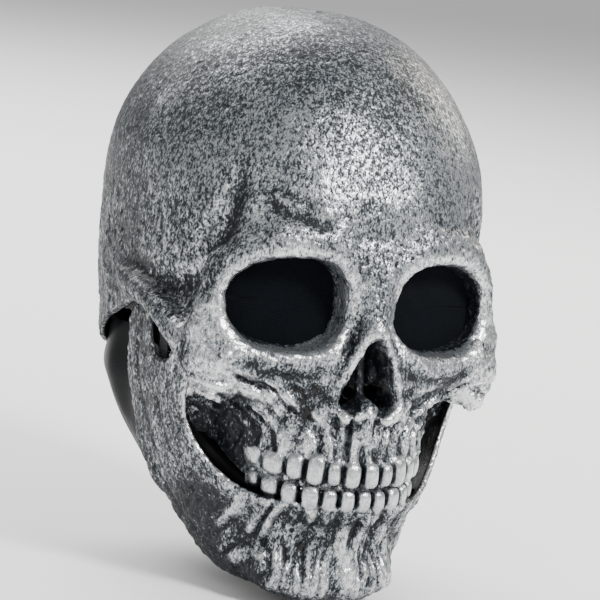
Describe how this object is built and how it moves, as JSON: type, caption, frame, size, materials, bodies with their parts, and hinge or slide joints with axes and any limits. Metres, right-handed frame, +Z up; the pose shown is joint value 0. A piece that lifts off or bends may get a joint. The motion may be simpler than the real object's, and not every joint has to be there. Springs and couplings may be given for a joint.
{
  "type": "full-head skull mask",
  "caption": "Full-head cast latex skull mask with a hinged sprung jaw, see-through eye mesh, foam pads and a stretch neck skirt",
  "frame": {"origin": "middle of the wearer's head at eye height, midway between the temples", "axes": "+Z up towards the crown, -Y towards the face, +X towards the wearer's left"},
  "size_m": [0.1764, 0.2207, 0.2765],
  "materials": {
    "latex_shell": "cast latex, black base with dry-brushed silver paint, satin",
    "skirt_stretch": "black stretch cloth with a soft satin face",
    "foam": "charcoal open-cell foam",
    "eye_mesh": "fine woven dark navy see-through mesh",
    "bond_rubber": "black latex adhesive and reinforced latex, matt",
    "rivet_steel": "nickel-plated steel",
    "elastic": "black woven elastic, ribbed"
  },
  "bodies": {
    "skull": {"skull_shell": "latex_shell", "neck_skirt": "skirt_stretch", "crown_pad": "foam", "brow_pad": "foam", "nape_pad": "foam", "eye_mesh_right": "eye_mesh", "mesh_bond_right": "bond_rubber", "hinge_tab_right": "bond_rubber", "hinge_rivet_right": "rivet_steel", "jaw_elastic_right": "elastic", "eye_mesh_left": "eye_mesh", "mesh_bond_left": "bond_rubber", "hinge_tab_left": "bond_rubber", "hinge_rivet_left": "rivet_steel", "jaw_elastic_left": "elastic"},
    "jaw": {"jaw_shell": "latex_shell", "chin_cup": "foam"}
  },
  "joints": [
    {"name": "jaw_hinge", "type": "hinge", "parent": "skull", "child": "jaw", "pos_m": [0, -0.002, -0.014], "axis": [1, 0, 0], "range_deg": [0, 12], "stiffness_Nm_per_rad": 0.12, "springref_deg": -40.11, "deforming": ["jaw_elastic_right", "jaw_elastic_left"]}
  ]
}
